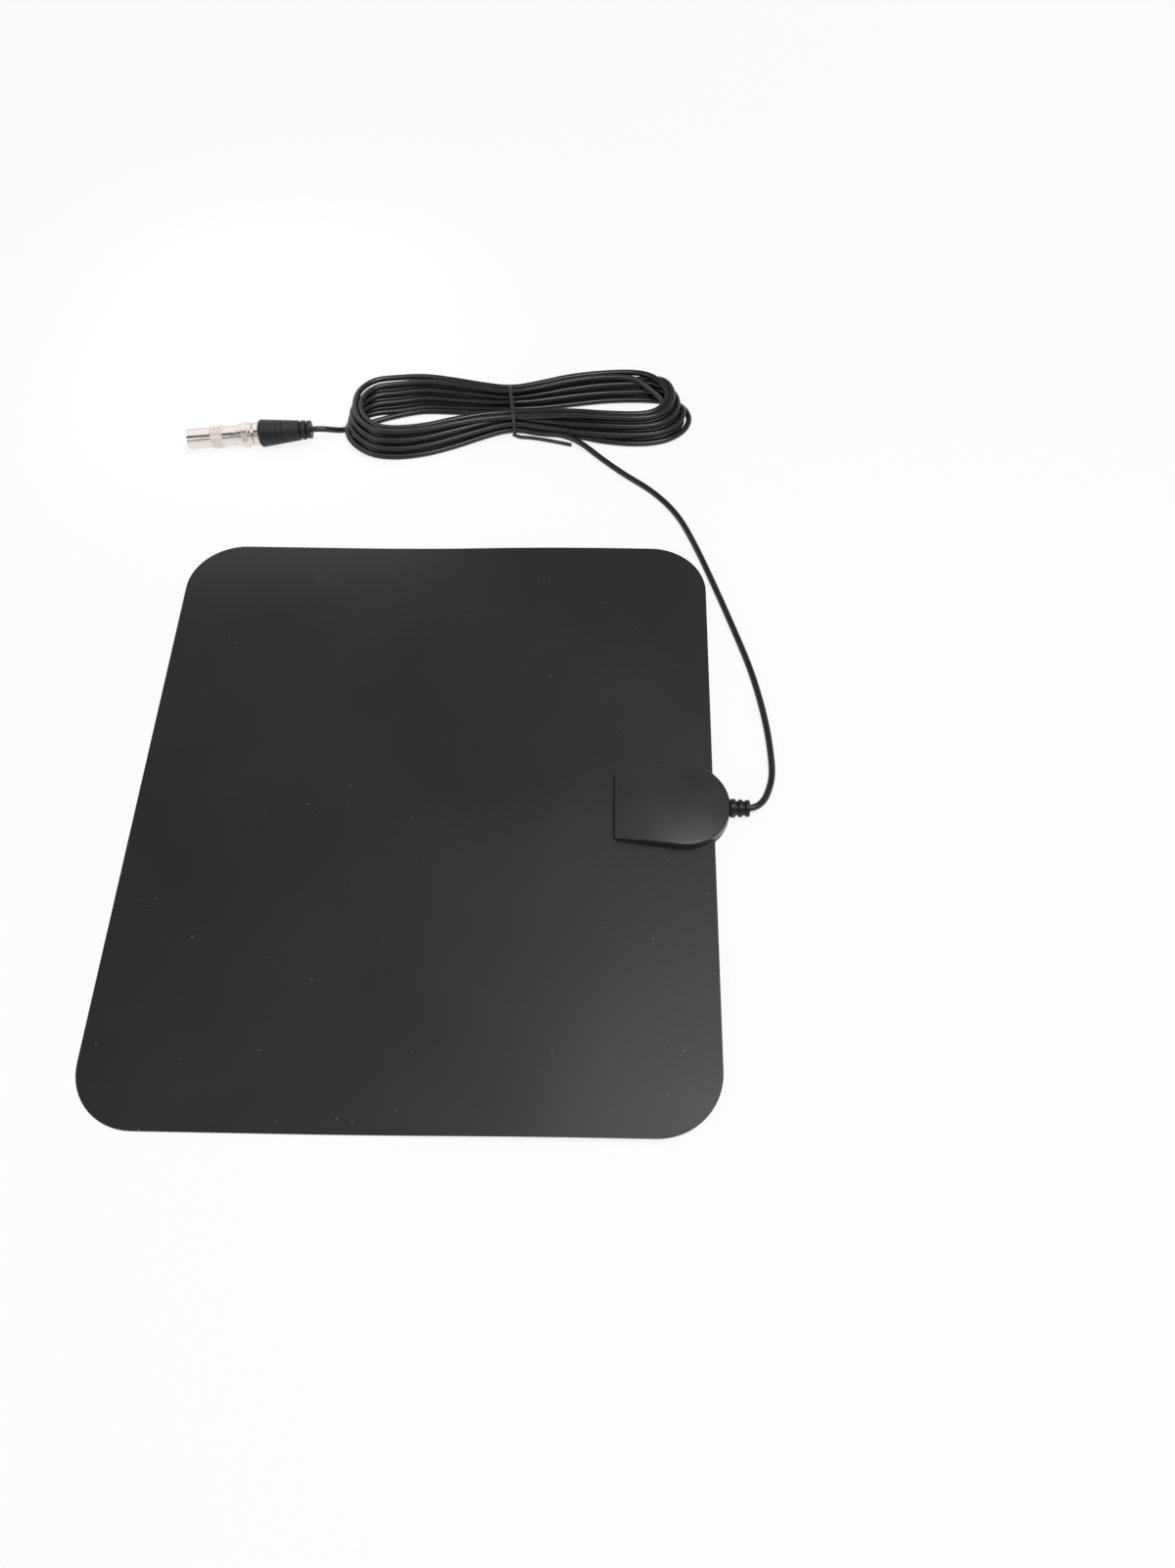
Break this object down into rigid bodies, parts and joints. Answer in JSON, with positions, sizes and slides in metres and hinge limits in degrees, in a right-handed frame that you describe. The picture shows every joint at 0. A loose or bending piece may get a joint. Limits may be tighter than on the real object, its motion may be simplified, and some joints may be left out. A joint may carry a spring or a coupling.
{
  "type": "flat indoor tv antenna",
  "caption": "Thin flat film TV antenna with a moulded feed housing on its edge, a coaxial lead tied in a hank, and a screw plug with a push-in aerial adapter.",
  "frame": {"origin": "middle of the footprint of sheet, housing and strain relief, on the surface that the antenna lies on", "axes": "+X across the sheet towards the feed housing, +Y along the sheet's long side towards the hank, +Z out of the front face"},
  "size_m": [0.2692, 0.3735, 0.0128],
  "materials": {
    "film": "satin charcoal film",
    "foil": "thin foil",
    "housing": "fine moulded texture",
    "board": "glass-fibre board",
    "ferrite": "pressed ferrite",
    "contact_brass": "plain",
    "soft_black": "soft moulding",
    "insulator_white": "plain",
    "copper": "bare wire",
    "cable_jacket": "semi-gloss jacket",
    "tie": "coated wire",
    "nickel": "bright nickel plate"
  },
  "bodies": {
    "antenna": {"back_film": "film", "far_foil_plate": "foil", "near_foil_plate": "foil", "front_film": "film", "housing_top_cover": "housing", "housing_bottom_cover": "housing", "matching_board": "board", "feed_rivets": "contact_brass", "balun_core": "ferrite", "strain_relief": "soft_black", "cable_dielectric": "insulator_white", "cable_conductor": "copper", "braid_tail": "copper", "cable_lead": "cable_jacket", "cable_hank": "cable_jacket", "cable_tail": "cable_jacket", "twist_tie": "tie", "plug_boot": "soft_black", "plug_ferrule": "nickel", "plug_dielectric": "insulator_white", "plug_centre_wire": "copper"},
    "nut": {"coupling_nut": "nickel"},
    "adapter": {"adapter_body": "nickel", "adapter_pin": "nickel", "adapter_front_insulator": "insulator_white", "adapter_rear_insulator": "insulator_white"}
  },
  "joints": [
    {"name": "nut_turn", "type": "hinge", "parent": "antenna", "child": "nut", "pos_m": [-0.10771, 0.1972, 0.00602], "axis": [0.9954, 0.0836, 0.0465], "range_deg": [0, 2160]},
    {"name": "adapter_slide", "type": "slide", "parent": "antenna", "child": "adapter", "axis": [-0.9954, -0.0836, -0.0465], "range_m": [0, 0.00476]}
  ],
  "couplings": [
    {"joint": "nut_turn", "follows": "adapter_slide", "rad_per_m": 7915.8}
  ]
}
